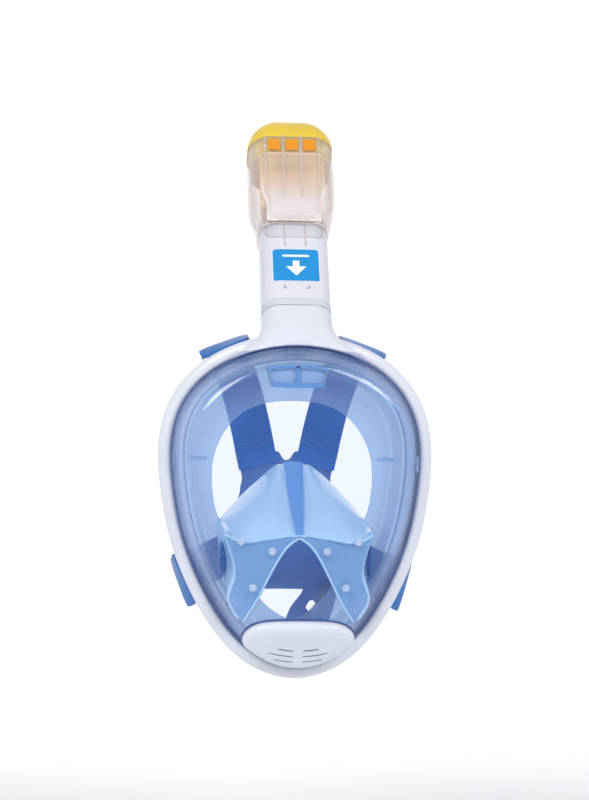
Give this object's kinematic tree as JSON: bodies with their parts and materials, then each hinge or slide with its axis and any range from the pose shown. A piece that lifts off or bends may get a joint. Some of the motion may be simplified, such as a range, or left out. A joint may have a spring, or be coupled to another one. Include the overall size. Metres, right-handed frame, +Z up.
{
  "type": "full-face snorkel mask",
  "caption": "Full-face diving mask with a flat viewport, white frame, blue silicone skirt and nose cup, head straps, chin valve and a rear-leaning snorkel with a yellow cap.",
  "frame": {"origin": "on the flat front of the viewport, on the symmetry plane, at the middle of the front ring's height", "axes": "+Z up towards the snorkel, -Y the way the wearer looks, +X to the right seen from in front"},
  "size_m": [0.19, 0.1812, 0.3993],
  "materials": {
    "white_shell": "smooth glossy white plastic",
    "clear_lens": "clear polished polycarbonate",
    "skirt_silicone": "translucent light blue silicone",
    "cup_silicone": "translucent blue silicone",
    "clear_plastic": "clear plastic",
    "strap_webbing": "woven elastic webbing and padded cloth, mid blue",
    "clip_plastic": "glossy blue plastic",
    "cap_yellow": "glossy yellow plastic",
    "float_orange": "orange plastic float",
    "seal_dark": "dark navy rubber",
    "valve_silicone": "clear silicone flap",
    "label_blue": "printed blue label, no lettering",
    "steel": "stainless steel"
  },
  "bodies": {
    "mask": {"front_frame": "white_shell", "rear_frame": "white_shell", "viewport_lens": "clear_lens", "face_skirt": "skirt_silicone", "forehead_duct": "cup_silicone", "oral_nasal_cup": "cup_silicone", "cup_studs": "clear_plastic", "inlet_valve_seat_left": "clip_plastic", "inlet_valve_seat_right": "clip_plastic", "chin_valve_seat": "clip_plastic", "chin_valve_cover": "white_shell", "clip_pins": "steel", "button_spring": "steel", "upper_strap_left": "strap_webbing", "upper_strap_right": "strap_webbing", "lower_strap_left": "strap_webbing", "lower_strap_right": "strap_webbing", "strap_slider_left": "clip_plastic", "strap_slider_right": "clip_plastic", "rear_pad": "strap_webbing", "pad_tail": "strap_webbing"},
    "snorkel": {"snorkel_tube": "white_shell", "tube_gasket": "seal_dark", "tube_label": "label_blue", "tube_insert": "clear_plastic", "top_housing": "clear_plastic", "top_cap": "cap_yellow", "port_plate": "cap_yellow", "float_guide_rod": "steel"},
    "float": {"float_body": "float_orange", "float_seal": "seal_dark"},
    "button": {"release_button": "clip_plastic"},
    "chin_diaphragm": {"chin_valve_diaphragm": "valve_silicone"},
    "flap_left": {"inlet_valve_flap_left": "valve_silicone"},
    "flap_right": {"inlet_valve_flap_right": "valve_silicone"},
    "clip_upper_left": {"strap_clip_upper_left": "clip_plastic"},
    "clip_upper_right": {"strap_clip_upper_right": "clip_plastic"},
    "clip_lower_left": {"strap_clip_lower_left": "clip_plastic"},
    "clip_lower_right": {"strap_clip_lower_right": "clip_plastic"}
  },
  "joints": [
    {"name": "snorkel_pull", "type": "slide", "parent": "mask", "child": "snorkel", "axis": [0, 0.5736, 0.8192], "range_m": [0, 0.04]},
    {"name": "float_rise", "type": "slide", "parent": "snorkel", "child": "float", "axis": [0, 0.5736, 0.8192], "range_m": [0, 0.008]},
    {"name": "button_press", "type": "slide", "parent": "mask", "child": "button", "axis": [0, -0.8192, 0.5736], "range_m": [0, 0.0024], "deforming": ["button_spring"]},
    {"name": "chin_valve_lift", "type": "slide", "parent": "mask", "child": "chin_diaphragm", "axis": [0, -0.7623, -0.6472], "range_m": [0, 0.002]},
    {"name": "inlet_flap_left_open", "type": "hinge", "parent": "mask", "child": "flap_left", "pos_m": [-0.0477, 0.041, -0.026], "axis": [0, -1, 0], "range_deg": [0, 35]},
    {"name": "inlet_flap_right_open", "type": "hinge", "parent": "mask", "child": "flap_right", "pos_m": [0.0477, 0.041, -0.026], "axis": [0, 1, 0], "range_deg": [0, 35]},
    {"name": "clip_upper_left_swing", "type": "hinge", "parent": "mask", "child": "clip_upper_left", "pos_m": [-0.04604, 0.07081, 0.10631], "axis": [0.9115, 0, 0.4114], "range_deg": [-8, 25], "deforming": ["upper_strap_left"]},
    {"name": "clip_upper_right_swing", "type": "hinge", "parent": "mask", "child": "clip_upper_right", "pos_m": [0.04604, 0.07081, 0.10631], "axis": [0.9115, 0, -0.4114], "range_deg": [-8, 25], "deforming": ["upper_strap_right"]},
    {"name": "clip_lower_left_swing", "type": "hinge", "parent": "mask", "child": "clip_lower_left", "pos_m": [-0.07021, 0.07065, -0.05141], "axis": [-0.434, 0, 0.9009], "range_deg": [-8, 25], "deforming": ["lower_strap_left"]},
    {"name": "clip_lower_right_swing", "type": "hinge", "parent": "mask", "child": "clip_lower_right", "pos_m": [0.07021, 0.07065, -0.05141], "axis": [-0.434, 0, -0.9009], "range_deg": [-8, 25], "deforming": ["lower_strap_right"]}
  ]
}
